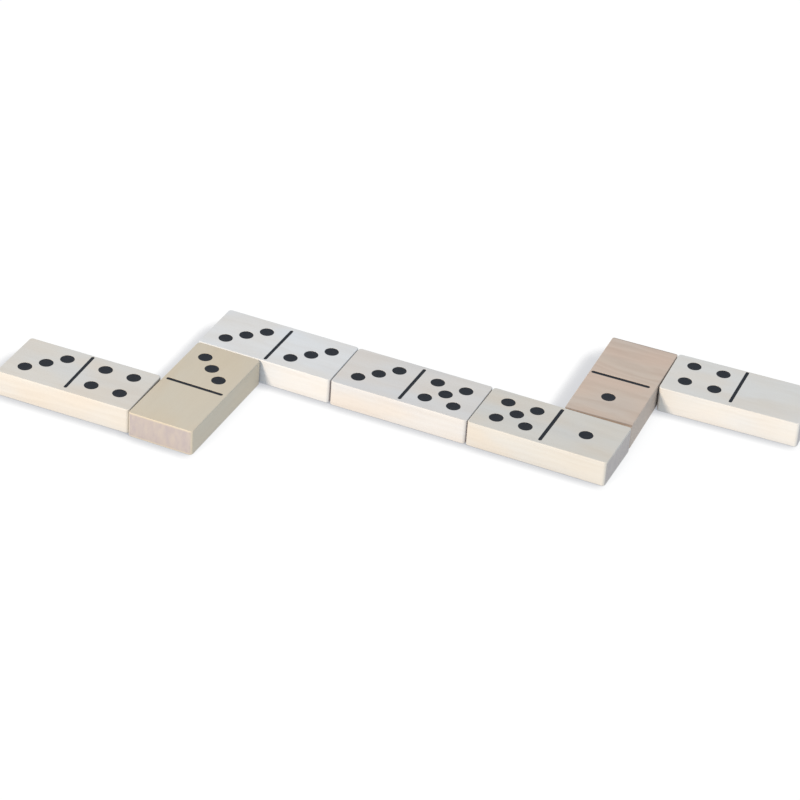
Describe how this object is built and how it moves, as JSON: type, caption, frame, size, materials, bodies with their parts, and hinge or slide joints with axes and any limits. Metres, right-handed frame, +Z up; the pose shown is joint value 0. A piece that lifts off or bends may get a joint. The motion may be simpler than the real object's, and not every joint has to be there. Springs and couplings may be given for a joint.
{
  "type": "domino tile set",
  "caption": "Rectangular wooden domino tiles with rounded edges, black pips and dividing bars, laid flat as a line of play that turns twice.",
  "frame": {"origin": "on the table, under the middle of the line's bounding box", "axes": "+X along the line of play, +Y across it, +Z up out of the pipped faces"},
  "size_m": [0.2662, 0.1348, 0.01],
  "materials": {
    "pale_wood": "sanded satin",
    "tan_wood": "sanded satin",
    "rosy_wood": "sanded satin",
    "black_ink": "satin ink"
  },
  "bodies": {
    "three_four_tile": {"three_four_block": "pale_wood", "three_four_bar": "black_ink", "three_four_pip_1": "black_ink", "three_four_pip_2": "black_ink", "three_four_pip_3": "black_ink", "three_four_pip_4": "black_ink", "three_four_pip_5": "black_ink", "three_four_pip_6": "black_ink", "three_four_pip_7": "black_ink"},
    "blank_three_tile": {"blank_three_block": "tan_wood", "blank_three_bar": "black_ink", "blank_three_pip_1": "black_ink", "blank_three_pip_2": "black_ink", "blank_three_pip_3": "black_ink"},
    "double_three_tile": {"double_three_block": "pale_wood", "double_three_bar": "black_ink", "double_three_pip_1": "black_ink", "double_three_pip_2": "black_ink", "double_three_pip_3": "black_ink", "double_three_pip_4": "black_ink", "double_three_pip_5": "black_ink", "double_three_pip_6": "black_ink"},
    "three_five_tile": {"three_five_block": "pale_wood", "three_five_bar": "black_ink", "three_five_pip_1": "black_ink", "three_five_pip_2": "black_ink", "three_five_pip_3": "black_ink", "three_five_pip_4": "black_ink", "three_five_pip_5": "black_ink", "three_five_pip_6": "black_ink", "three_five_pip_7": "black_ink", "three_five_pip_8": "black_ink"},
    "five_one_tile": {"five_one_block": "pale_wood", "five_one_bar": "black_ink", "five_one_pip_1": "black_ink", "five_one_pip_2": "black_ink", "five_one_pip_3": "black_ink", "five_one_pip_4": "black_ink", "five_one_pip_5": "black_ink", "five_one_pip_6": "black_ink"},
    "blank_one_tile": {"blank_one_block": "rosy_wood", "blank_one_bar": "black_ink", "blank_one_pip_1": "black_ink"},
    "four_blank_tile": {"four_blank_block": "pale_wood", "four_blank_bar": "black_ink", "four_blank_pip_1": "black_ink", "four_blank_pip_2": "black_ink", "four_blank_pip_3": "black_ink", "four_blank_pip_4": "black_ink"}
  },
  "joints": [
    {"name": "lift_three_four", "type": "slide", "parent": "three_five_tile", "child": "three_four_tile", "axis": [0, 0, 1], "range_m": [0, 0.04]},
    {"name": "lift_blank_three", "type": "slide", "parent": "three_five_tile", "child": "blank_three_tile", "axis": [0, 0, 1], "range_m": [0, 0.04]},
    {"name": "lift_double_three", "type": "slide", "parent": "three_five_tile", "child": "double_three_tile", "axis": [0, 0, 1], "range_m": [0, 0.04]},
    {"name": "lift_five_one", "type": "slide", "parent": "three_five_tile", "child": "five_one_tile", "axis": [0, 0, 1], "range_m": [0, 0.04]},
    {"name": "lift_blank_one", "type": "slide", "parent": "three_five_tile", "child": "blank_one_tile", "axis": [0, 0, 1], "range_m": [0, 0.04]},
    {"name": "lift_four_blank", "type": "slide", "parent": "three_five_tile", "child": "four_blank_tile", "axis": [0, 0, 1], "range_m": [0, 0.04]}
  ]
}
